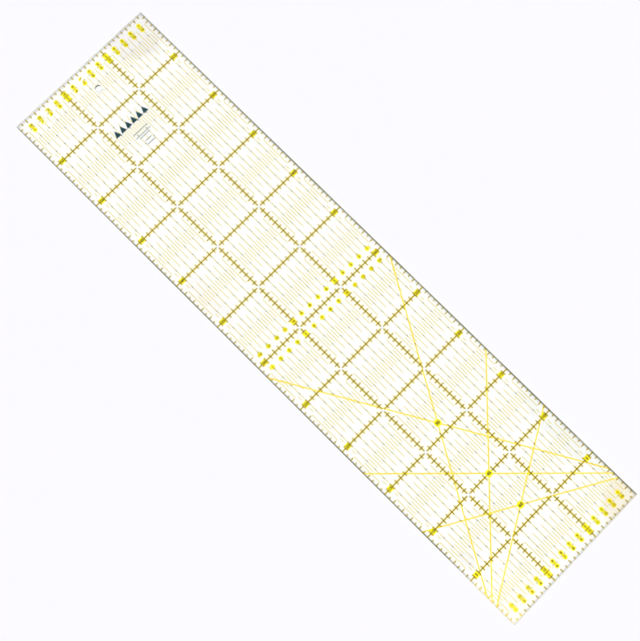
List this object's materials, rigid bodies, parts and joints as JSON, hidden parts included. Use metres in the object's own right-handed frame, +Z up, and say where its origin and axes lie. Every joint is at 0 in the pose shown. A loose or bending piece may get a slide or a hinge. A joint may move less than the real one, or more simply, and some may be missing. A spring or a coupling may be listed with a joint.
{
  "type": "quilting ruler",
  "caption": "Clear acrylic quilting ruler, 60 x 15 cm, with centimetre grid, angle lines, number tabs and a hang hole.",
  "frame": {"origin": "centre of the underside, on the resting plane", "axes": "+X along the length towards the hang hole, +Y across the width, +Z up through the sheet"},
  "size_m": [0.6, 0.15, 0.0031],
  "materials": {
    "acrylic": "polished clear sheet, 3 mm",
    "black_ink": "satin print",
    "yellow_ink": "satin print",
    "teal_ink": "satin print",
    "grey_ink": "satin print"
  },
  "bodies": {
    "root": {"acrylic_sheet": "acrylic", "black_cross_lines": "black_ink", "yellow_cross_lines": "yellow_ink", "black_long_lines": "black_ink", "yellow_long_lines": "yellow_ink", "black_long_edge_scale": "black_ink", "yellow_long_edge_scale": "yellow_ink", "long_edge_millimetres": "black_ink", "black_short_edge_scale": "black_ink", "yellow_short_edge_scale": "yellow_ink", "short_edge_millimetres": "black_ink", "yellow_guide_lines": "yellow_ink", "black_guide_dots": "black_ink", "yellow_length_tabs": "yellow_ink", "black_length_numerals": "black_ink", "yellow_width_tabs": "yellow_ink", "black_width_numerals": "black_ink", "yellow_angle_lines": "yellow_ink", "yellow_angle_tabs": "yellow_ink", "black_angle_numerals": "black_ink", "teal_motif": "teal_ink", "grey_rules": "grey_ink"}
  },
  "joints": []
}
